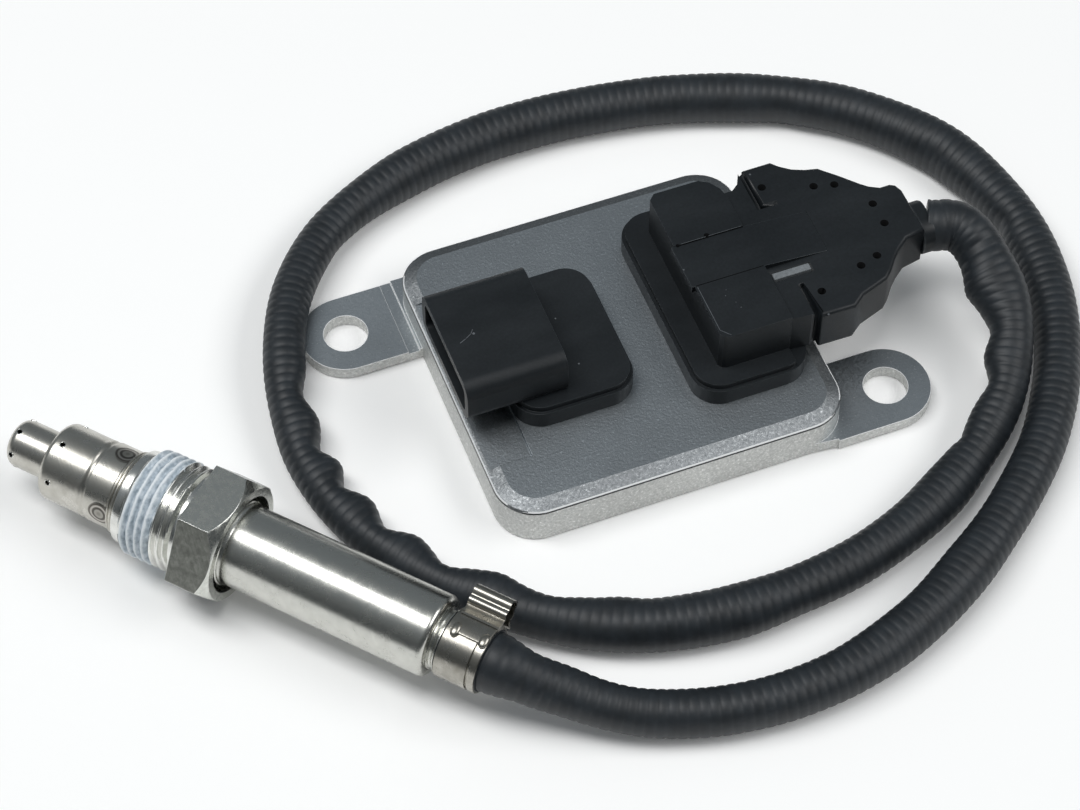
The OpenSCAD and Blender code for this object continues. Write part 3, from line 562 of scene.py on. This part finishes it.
# Near-black strips and dots on the plug's top: painted shade.
shade_lines = bmesh.new()
stroke(shade_lines, [(12.9, -5.05, 23.8), (26.2, -5.05, 23.8)], 0.16, 0.03)
stroke(shade_lines, [(13.2, 4.8, 23.8), (26.2, 4.8, 23.8)], 0.14, 0.03)
dot(shade_lines, (19.2, 5.2, 23.8), 0.55, 0.02)
dot(shade_lines, (13.3, 4.9, 23.8), 0.35, 0.02)
finish_piece("moulding_line_shade", shade_lines, deep_shadow, stands_for=())
pale_marks = bmesh.new()
stroke(pale_marks, [(13.0, -5.4, 23.8), (13.0, -15.9, 23.8), (14.5, -17.6, 23.8)], 0.1, 0.03)
stroke(pale_marks, [(14.0, 5.0, 23.8), (26.0, 5.0, 23.8)], 0.08, 0.03)
stroke(pale_marks, [(-31.6, -1.5, 23.2), (-30.3, -0.9, 23.2), (-29.1, -0.2, 23.2), (-28.5, 0.6, 23.2)], 0.12, 0.05)
for x, y, z, r in [
    (12.2, -0.7, 23.75, 0.16), (33.0, 16.9, 22.4, 0.2), (33.3, -18.6, 22.4, 0.2), (-28.6, -0.3, 23.2, 0.25),
    (-11.2, 3.8, 14.5, 0.18), (-10.9, -7.4, 14.5, 0.18), (17.0, -9.0, 23.8, 0.1), (18.2, -11.0, 23.8, 0.08),
    (18.6, -12.4, 23.8, 0.1), (17.6, -7.8, 23.8, 0.07),
]:
    dot(pale_marks, (x, y, z), r, 0.04)
finish_piece("pale_marks", pale_marks, moulded_plastic("scuffed_nylon", (0.10, 0.11, 0.12), 0.5, 0.1), stands_for=())
grey_nylon = moulded_plastic("grey_nylon", (0.17, 0.185, 0.195), 0.4, 0.15)
finish_piece("grey_lock_bar", worn_copy("lock_bar", "grey_lock_bar", 0.0002), grey_nylon, stands_for=("lock_bar",))


# Sleeve plastic: softer than the mouldings, bluish black with a waxy shine and pale scuffs
sleeve_plastic, sleeve_tree, sleeve_shader = new_material("sleeve_plastic", 0.0, 0.5, 0.5)
scuff = noise_on_object(sleeve_tree, 300.0, 5.0, 0.6)
sleeve_tone = ramp(sleeve_tree, scuff.outputs["Fac"], [(0.35, (0.0085, 0.0115, 0.0145)), (0.68, (0.0165, 0.0215, 0.0265))])
sleeve_tree.links.new(sleeve_tone.outputs["Color"], sleeve_shader.inputs["Base Color"])
sleeve_relief = bump(sleeve_tree, scuff.outputs["Fac"], 0.2, 0.0002)
sleeve_tree.links.new(sleeve_relief.outputs["Normal"], sleeve_shader.inputs["Normal"])
sleeve_mesh.materials.append(sleeve_plastic)
finish_piece("sleeve_cuff", worn_copy("sleeve_end", "sleeve_cuff", 0.0002), sleeve_plastic, stands_for=("sleeve_end",))


# Inner protection tube: the probe's tip, deep-drawn from thin stainless sheet, with a round
# nose and six small gas holes punched just behind it. It is pressed into the sensor's shell.
PROBE_TURN = math.radians(-49.2)
probe_place = Matrix.Translation((-0.0852, -0.0147, 0.011)) @ Matrix.Rotation(PROBE_TURN, 4, "Z") @ Matrix.Rotation(math.radians(90), 4, "Y")


def arc(along, out, radius, first, last, count=6):
    """Points (along, out) of a circle's arc, angles counted from straight out to the front."""
    points = []
    for i in range(count + 1):
        turn = math.radians(first + (last - first) * i / count)
        points.append((along - radius * math.sin(turn), out + radius * math.cos(turn)))
    return points


def turned(profile, sides=96):
    build = bmesh.new()
    spots = [build.verts.new((r * MM, 0.0, s * MM)) for s, r in profile]
    edges = [build.edges.new((spots[i - 1], spots[i])) for i in range(len(spots))]
    bmesh.ops.spin(
        build, geom=spots + edges, cent=(0, 0, 0), axis=(0, 0, 1), angle=2 * math.pi,
        steps=sides, use_merge=True, use_duplicate=False,
    )
    bmesh.ops.remove_doubles(build, verts=build.verts, dist=1e-7)
    bmesh.ops.dissolve_degenerate(build, dist=1e-8, edges=build.edges)
    bmesh.ops.recalc_face_normals(build, faces=build.faces)
    return build


def on_probe(build):
    bmesh.ops.transform(build, matrix=probe_place, verts=build.verts)
    return build


def steel(name, dark, light, roughness, rings=0.05, mottle_size=420.0):
    material, tree, shader = new_material(name, 1.0, roughness)
    mottle = noise_on_object(tree, mottle_size, 5.0, 0.6)
    turning = noise_on_object(tree, 1.0, 2.0, 0.5, (2600.0, 90.0, 90.0))
    turning_shape = turning.inputs["Vector"].links[0].from_node
    turning_shape.inputs["Rotation"].default_value = (0.0, 0.0, -PROBE_TURN)
    tone = ramp(tree, mottle.outputs["Fac"], [(0.3, dark), (0.7, light)])
    tree.links.new(tone.outputs["Color"], shader.inputs["Base Color"])
    rough = ramp(tree, mottle.outputs["Fac"], [(0.3, (roughness + 0.05,)), (0.7, (roughness - 0.04,))], (-600, -200))
    tree.links.new(rough.outputs["Color"], shader.inputs["Roughness"])
    relief = bump(tree, mottle.outputs["Fac"], 0.05, 0.0002)
    marks = bump(tree, turning.outputs["Fac"], rings, 0.0001, relief)
    tree.links.new(marks.outputs["Normal"], shader.inputs["Normal"])
    return material


def drill(build, at, radius, first, count=6):
    """Cuts a ring of holes through a turned wall, still in the probe's own frame."""
    drills = bmesh.new()
    for i in range(count):
        turn = math.radians(first + 360.0 * i / count)
        place = Matrix.Rotation(turn, 4, "Z") @ Matrix.Translation((0.007, 0, at * MM)) @ Matrix.Rotation(math.radians(90), 4, "Y")
        bmesh.ops.create_cone(
            drills, cap_ends=True, segments=20, radius1=radius * MM, radius2=radius * MM, depth=0.009, matrix=place,
        )
    return combined(build, drills, "DIFFERENCE")


def hole_rims(at, surface, radius, first, count=6):
    """The burr round each punched hole: a thin bright lip."""
    build = bmesh.new()
    for i in range(count):
        lip = bmesh.new()
        bmesh.ops.create_circle(lip, segments=8, radius=0.09 * MM, matrix=Matrix.Translation((radius * MM, 0, 0)) @ Matrix.Rotation(math.radians(90), 4, "X"))
        bmesh.ops.spin(lip, geom=lip.verts[:] + lip.edges[:], cent=(0, 0, 0), axis=(0, 0, 1), angle=2 * math.pi, steps=18, use_merge=True)
        bmesh.ops.remove_doubles(lip, verts=lip.verts, dist=1e-8)
        bmesh.ops.recalc_face_normals(lip, faces=lip.faces)
        turn = math.radians(first + 360.0 * i / count)
        place = Matrix.Rotation(turn, 4, "Z") @ Matrix.Translation((surface * MM, 0, at * MM)) @ Matrix.Rotation(math.radians(90), 4, "Y")
        bmesh.ops.transform(lip, matrix=place, verts=lip.verts)
        loose = bpy.data.meshes.new("lip")
        lip.to_mesh(loose)
        lip.free()
        build.from_mesh(loose)
        bpy.data.meshes.remove(loose)
    return build


drawn_steel = steel("drawn_steel", (0.53, 0.53, 0.495), (0.63, 0.63, 0.59), 0.25)
satin_steel = steel("satin_steel", (0.46, 0.445, 0.40), (0.60, 0.585, 0.54), 0.29, 0.12)
bright_steel = steel("bright_steel", (0.66, 0.66, 0.63), (0.8, 0.8, 0.77), 0.22)
tip_profile = [(-13.9, 4.5)] + arc(-37.7, 2.7, 1.8, 0, 90) + [(-39.5, 0.0), (-39.1, 0.0), (-39.0, 2.6), (-38.3, 3.6), (-37.6, 4.0), (-13.9, 4.0)]
tip = drill(turned(tip_profile), -37.8, 0.5, 7.0)
finish_piece("probe_tip", on_probe(tip), satin_steel, "sensor", ("inner_tube",))
finish_piece("tip_hole_lips", on_probe(hole_rims(-37.8, 4.49, 0.54, 7.0)), bright_steel, "sensor", ())


# Outer protection tube: a wider drawn sleeve over the tip, with six gas holes of its own and
# a rolled groove behind them, where the guard ring's edge begins.
guard_profile = (
    [(-13.9, 7.3), (-20.2, 7.3), (-20.55, 7.12), (-20.85, 7.05), (-21.15, 7.15), (-21.4, 7.36), (-21.7, 7.42), (-22.1, 7.36), (-22.6, 7.35)]
    + arc(-29.25, 6.0, 1.35, 0, 90)
    + [(-30.6, 4.55), (-30.2, 4.55), (-30.0, 5.9), (-29.3, 6.7), (-13.9, 6.75)]
)
guard = drill(turned(guard_profile), -28.0, 0.5, 6.0)
finish_piece("outer_guard", on_probe(guard), satin_steel, "sensor", ("outer_tube",))
finish_piece("guard_hole_lips", on_probe(hole_rims(-28.0, 7.34, 0.54, 6.0)), bright_steel, "sensor", ())

# Guard ring: the rear end of the protection tube, pushed over the shell and spot-welded in
# four places. Its own rear edge carries the fine beads of a laser seam.
ring_profile = [
    (-14.0, 7.32), (-20.3, 7.32), (-20.45, 7.4), (-20.4, 7.5), (-20.2, 7.55), (-15.9, 7.55),
    (-15.7, 7.5), (-15.55, 7.62), (-15.35, 7.86), (-15.15, 7.86), (-15.0, 7.68), (-14.85, 7.86),
    (-14.65, 8.1), (-14.4, 8.1), (-14.25, 7.95), (-14.1, 8.1), (-14.0, 8.2),
]
finish_piece("welded_ring", on_probe(turned(ring_profile)), satin_steel, "sensor", ("guard_ring",))


def wrap(build, radius, turn, along):
    """Lays a flat piece on the probe: x runs along the axis, y round it, z stands out."""
    for v in build.verts:
        out = radius * MM + v.co.z
        angle = turn + v.co.y / (radius * MM)
        v.co = Vector((out * math.cos(angle), out * math.sin(angle), along * MM + v.co.x))
    return on_probe(build)


weld_tint, weld_tree, weld_shader = new_material("weld_tint", 1.0, 0.34)
weld_reach = steps(weld_tree, "ShaderNodeAttribute", (-900, 0), attribute_name="reach")
weld_rings = ramp(weld_tree, weld_reach.outputs["Fac"], [
    (0.0, (0.13, 0.125, 0.11)), (0.09, (0.3, 0.29, 0.26)), (0.17, (0.34, 0.33, 0.3)), (0.215, (0.1, 0.095, 0.085)),
    (0.27, (0.12, 0.11, 0.1)), (0.315, (0.5, 0.48, 0.44)), (0.35, (0.4, 0.38, 0.35)), (0.39, (0.09, 0.08, 0.07)),
    (0.43, (0.2, 0.19, 0.17)), (0.48, (0.43, 0.42, 0.39)),
])
weld_tree.links.new(weld_rings.outputs["Color"], weld_shader.inputs["Base Color"])
weld_spots = bmesh.new()
for turn_angle in (13.4, 114.6, 204.0, 294.0):
    spot = bmesh.new()
    bmesh.ops.create_circle(spot, cap_ends=True, segments=40, radius=2.3 * MM)
    reach_layer = spot.verts.layers.float.new("reach")
    for reach, drop in ((0.25, 0.03), (0.3, 0.0), (0.2, -0.05), (0.25, 0.05), (0.25, 0.0), (0.25, -0.04), (0.3, 0.0), (0.2, -0.03)):
        bmesh.ops.inset_region(spot, faces=[f for f in spot.faces if len(f.verts) > 4], thickness=reach * MM, depth=drop * MM, use_even_offset=True, use_boundary=True)
    for v in spot.verts:
        v[reach_layer] = math.hypot(v.co.x, v.co.y) / (5.0 * MM)
    wrap(spot, 7.64, math.radians(-90.0 - turn_angle), -16.9)
    loose = bpy.data.meshes.new("spot")
    spot.to_mesh(loose)
    spot.free()
    weld_spots.from_mesh(loose)
    bpy.data.meshes.remove(loose)
finish_piece("spot_welds", weld_spots, weld_tint, "sensor", ())

# Sensor shell: turned stainless steel. Its sealing collar is what the gland nut presses into
# the exhaust pipe; the shank behind it runs hidden through the nut.
shell_profile = [
    (4.0, 6.95), (-1.0, 6.95), (-1.0, 8.0), (-12.1, 8.0), (-12.1, 8.62), (-12.2, 8.82), (-12.4, 8.9), (-13.3, 8.9),
    (-13.7, 8.82), (-13.9, 8.6), (-14.0, 8.2), (-13.9, 4.95), (4.0, 4.95),
]
finish_piece("sensor_shell", on_probe(turned(shell_profile)), bright_steel, "sensor", ("probe_shell",))


# Gland nut: one machined piece, a hexagon with a long M20 thread in front. It is loose on the
# shell, so it can be screwed in without twisting the sleeve.
nut_steel = steel("nut_steel", (0.56, 0.57, 0.53), (0.68, 0.69, 0.65), 0.26, 0.1, 900.0)
nut_block = worn_copy("gland_nut", "gland_nut", 0.00016, edge_slot=1)
bmesh.ops.bisect_plane(
    nut_block, geom=nut_block.verts[:] + nut_block.edges[:] + nut_block.faces[:], dist=1e-7,
    plane_co=probe_place @ Vector((0, 0, -0.0004)), plane_no=probe_place.to_3x3() @ Vector((0, 0, 1)), clear_inner=True,
)
# Every hexagon flat that does not face straight up gets a darker copy of the nut's steel: painted shade that holds down
# its reflection of the pale floor.
hex_flats_painted_shade = steel("hex_flats_painted_shade", (0.15, 0.155, 0.14), (0.23, 0.235, 0.215), 0.2, 0.1, 900.0)
nut_axis = probe_place.to_3x3() @ Vector((0, 0, 1))
for face in nut_block.faces:
    flat = abs(face.normal.dot(nut_axis)) < 0.1 and face.calc_area() > 0.00004
    if flat and face.normal.z < 0.9:
        face.material_index = 2
finish_piece("nut_hexagon", nut_block, (nut_steel, bright_steel, hex_flats_painted_shade), "gland_nut", ("gland_nut",))
THREAD_PITCH = 1.5
thread_build = turned(
    [(-12.1, 8.06), (-12.1, 9.0)] + [(-12.0 + 0.125 * i, 10.0) for i in range(84)] + [(-1.5, 9.1), (-0.3, 9.1), (-0.3, 8.06)], 144,
)
for v in thread_build.verts:
    s = v.co.z / MM
    r = math.hypot(v.co.x, v.co.y) / MM
    if r > 9.5:
        turn = math.atan2(v.co.y, v.co.x) / (2 * math.pi)
        phase = (s / THREAD_PITCH - turn) % 1.0
        crest = min(1.0, max(0.0, (abs(phase - 0.5) * 2.0 - 0.12) / 0.76))
        tall = 10.0 - 0.95 * (1.0 - crest)
        tall = min(tall, 9.15 + 0.95 * (s + 12.1), 9.1 + max(0.0, -1.5 - s) * 1.2)
        v.co.x *= tall / r
        v.co.y *= tall / r
finish_piece("nut_thread", on_probe(thread_build), bright_steel, "gland_nut", (), 60.0)

# Mounting paste: pale blue-grey high-temperature paste, brushed on the first two thirds of
# the thread at the factory. It half fills the grooves and shows the thread through it.
paste, paste_tree, paste_shader = new_material("mounting_paste", 0.0, 0.5, 0.5)
paste_blobs = noise_on_object(paste_tree, 700.0, 5.0, 0.65)
paste_tall = steps(paste_tree, "ShaderNodeAttribute", (-1000, 200), attribute_name="heap")
paste_level = steps(paste_tree, "ShaderNodeMath", (-800, 200), operation="ADD")
paste_tree.links.new(paste_tall.outputs["Fac"], paste_level.inputs[0])
paste_tree.links.new(paste_blobs.outputs["Fac"], paste_level.inputs[1])
paste_tone = ramp(paste_tree, paste_level.outputs["Value"], [(0.4, (0.2, 0.25, 0.29)), (0.62, (0.42, 0.49, 0.55)), (0.95, (0.78, 0.83, 0.86))])
paste_tree.links.new(paste_tone.outputs["Color"], paste_shader.inputs["Base Color"])
paste_relief = bump(paste_tree, paste_blobs.outputs["Fac"], 0.5, 0.0002)
paste_tree.links.new(paste_relief.outputs["Normal"], paste_shader.inputs["Normal"])
paste_build = turned(
    [(-11.9, 8.8)] + [(-11.9 + 0.115 * i, 10.0) for i in range(68)] + [(-4.1, 8.8)], 144,
)
heap = paste_build.verts.layers.float.new("heap")
for v in paste_build.verts:
    s = v.co.z / MM
    r = math.hypot(v.co.x, v.co.y) / MM
    if r > 9.5:
        angle = math.atan2(v.co.y, v.co.x)
        turn = angle / (2 * math.pi)
        phase = (s / THREAD_PITCH - turn) % 1.0
        crest = min(1.0, max(0.0, (abs(phase - 0.5) * 2.0 - 0.05) / 0.7))
        blot = noise.noise(Vector((3.2 * math.cos(angle), 3.2 * math.sin(angle), s * 0.35)))
        grain = noise.noise(Vector((14 * math.cos(angle), 14 * math.sin(angle), s * 2.5)))
        strands = 0.5 + 0.5 * math.cos(4 * math.pi * phase + 2.0 * blot)
        tall = 9.42 + 0.6 * crest + 0.09 * strands + 0.1 * blot + 0.07 * grain
        v[heap] = 0.42 * crest + 0.22 * strands + 0.15 * grain - 0.1
        edge = -5.1 + 0.8 * blot + 0.4 * grain
        tall -= 1.6 * smooth(s, edge - 0.5, edge + 0.3) + 1.2 * (1 - smooth(s, -11.8, -11.2))
        v.co.x *= tall / r
        v.co.y *= tall / r
finish_piece("thread_paste", on_probe(paste_build), paste, "gland_nut", (), 60.0)


# Rear tube: drawn stainless sheet, flared where the shell grips it inside the nut's back, and
# rolled in at its far end over the neck ring that holds the rubber plug.
rear_profile = (
    [(-1.0, 7.6), (5.5, 7.65), (5.8, 7.8), (6.1, 8.1), (6.4, 8.2), (7.1, 8.2), (7.4, 8.12), (7.6, 7.9), (7.8, 7.85), (8.0, 7.72), (8.4, 7.65)]
    + [(47.2 - 0.0, 7.65)]
    + [(47.2 + 1.25 * math.sin(math.radians(a)), 6.4 + 1.25 * math.cos(math.radians(a))) for a in range(15, 91, 15)]
    + [(48.5, 6.0), (48.0, 5.95), (47.4, 6.9), (46.8, 7.1), (-1.0, 7.1)]
)
finish_piece("rear_can", on_probe(turned(rear_profile)), drawn_steel, "sensor", ("rear_tube",))
neck_profile = [(47.9, 3.3), (47.9, 5.9), (48.7, 5.9), (48.95, 5.5), (49.2, 5.4), (49.45, 5.5), (49.7, 5.88), (49.9, 5.88), (49.9, 4.6), (57.2, 4.6), (57.2, 3.3)]
finish_piece("neck_collar", on_probe(turned(neck_profile)), drawn_steel, "sensor", ("neck_ring",))


# Ear clamp: a stainless steel band round the sleeve's end. Its folded ear was pinched to
# tighten it, and the band's outer layer ends in two small hooks beside a narrow inner strip.
clamp_steel = steel("clamp_steel", (0.30, 0.285, 0.25), (0.44, 0.425, 0.385), 0.28, 0.1)
band_profile = [
    (50.25, 5.86), (50.2, 6.2), (50.3, 6.34), (51.2, 6.36), (52.4, 6.28), (53.6, 6.36), (55.0, 6.3), (56.2, 6.35),
    (56.32, 6.3), (56.38, 5.9), (56.72, 5.9), (56.78, 6.28), (57.9, 6.3), (58.05, 6.2), (58.08, 5.86),
]
finish_piece("clamp_band", on_probe(turned(band_profile)), clamp_steel, "sensor", ("ear_clamp",), 40.0)


def clamp_turn(world_angle):
    return math.radians(-90.0 - world_angle)


plate_long = math.radians(145 - 79) * 6.5
plate = bmesh.new()
bmesh.ops.create_cube(plate, size=1.0, matrix=Matrix.Diagonal((7.7 * MM, plate_long * MM, 0.42 * MM, 1.0)))
corners = [e for e in plate.edges if abs(e.verts[0].co.z - e.verts[1].co.z) > 1e-5 and e.verts[0].co.y > 0]
bmesh.ops.bevel(plate, geom=corners, offset=1.5 * MM, segments=6, profile=0.5, affect="EDGES", material=-1)
rim = [e for e in plate.edges if e.verts[0].co.z > 0 and e.verts[1].co.z > 0]
bmesh.ops.bevel(plate, geom=rim, offset=0.16 * MM, segments=2, profile=0.5, affect="EDGES", material=-1)
for i in range(1, 14):
    cut_at = (i / 14 - 0.5) * plate_long * MM
    bmesh.ops.bisect_plane(plate, geom=plate.verts[:] + plate.edges[:] + plate.faces[:], dist=1e-8, plane_co=(0, cut_at, 0), plane_no=(0, 1, 0))
wrap(plate, 6.5, clamp_turn((145 + 79) / 2), 54.2)
finish_piece("clamp_plate", plate, clamp_steel, "sensor", (), 50.0)
hooks = bmesh.new()
for along, turn_angle in ((51.9, 84.0), (57.3, 86.0)):
    bmesh.ops.create_uvsphere(
        hooks, u_segments=20, v_segments=12, radius=1.0,
        matrix=probe_place @ Matrix.Rotation(clamp_turn(turn_angle), 4, "Z") @ Matrix.Translation((6.42 * MM, 0, along * MM)) @ Matrix.Diagonal((0.62 * MM, 1.5 * MM, 0.9 * MM, 1.0)),
    )
finish_piece("clamp_hooks", hooks, clamp_steel, "sensor", (), 60.0)

# The ear itself: the same strip, folded up in two legs with a waist and a flat crown
half_fold = [
    (3.4, 0.12), (2.4, 0.14), (1.9, 0.28), (1.5, 0.6), (1.36, 0.95), (1.5, 1.3), (1.8, 1.5), (1.95, 1.8), (1.8, 2.1),
    (1.5, 2.3), (1.3, 2.7), (1.28, 3.1), (1.36, 3.5), (1.3, 3.85), (1.05, 4.1), (0.6, 4.2), (0.0, 4.2),
]
fold = half_fold + [(-t, h) for t, h in reversed(half_fold[:-1])]
ear_build = bmesh.new()
ear_spots = [ear_build.verts.new((0.0, t * MM, h * MM)) for t, h in fold]
ear_edges = [ear_build.edges.new(pair) for pair in zip(ear_spots, ear_spots[1:])]
raised = bmesh.ops.extrude_edge_only(ear_build, edges=ear_edges)
bmesh.ops.translate(ear_build, verts=[v for v in raised["geom"] if isinstance(v, bmesh.types.BMVert)], vec=(7.3 * MM, 0, 0))
bmesh.ops.solidify(ear_build, geom=ear_build.faces[:], thickness=0.42 * MM)
bmesh.ops.recalc_face_normals(ear_build, faces=ear_build.faces)
for v in ear_build.verts:
    bend = (v.co.y / MM) ** 2 / (2 * 6.7) * MM if v.co.z < 0.6 * MM else 0.0
    v.co.z -= bend
ear_place = probe_place @ Matrix.Rotation(clamp_turn(145.0), 4, "Z") @ Matrix.Translation((6.62 * MM, 0, 50.9 * MM)) @ Matrix(((0, 0, 1, 0), (0, 1, 0, 0), (1, 0, 0, 0), (0, 0, 0, 1)))
bmesh.ops.transform(ear_build, matrix=ear_place, verts=ear_build.verts)
bmesh.ops.recalc_face_normals(ear_build, faces=ear_build.faces)
finish_piece("clamp_ear", ear_build, clamp_steel, "sensor", (), 60.0)


# Parts that stay inside the closed sensor keep their solids and get plain finishes
tinned = steel("tinned_brass", (0.55, 0.5, 0.38), (0.7, 0.64, 0.5), 0.3)
ceramic = moulded_plastic("white_ceramic", (0.75, 0.72, 0.64), 0.6, 0.3)
red_silicone = moulded_plastic("red_silicone", (0.35, 0.1, 0.05), 0.5, 0.1)
green_board = moulded_plastic("green_board", (0.02, 0.12, 0.05), 0.35, 0.1)
for names, finish in [
    (("base_plate",), unit_metal), (("base_seal", "main_chip", "driver_chip", "plug_insert"), black_nylon),
    (("socket_seal", "header_seal"), grey_nylon), (("circuit_board",), green_board),
    (("plug_seal", "grommet"), red_silicone),
    (("header_pins", "plug_contacts", "contact_springs", "socket_pin_1", "socket_pin_2", "socket_pin_3", "socket_pin_4", "socket_pin_5"), tinned),
    (("front_ceramic", "talc_packing", "rear_ceramic", "sensor_strip", "contact_holder", "wire_bundle"), ceramic),
]:
    for node in names:
        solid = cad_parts[node]
        solid.data.materials.clear()
        solid.data.materials.append(finish)
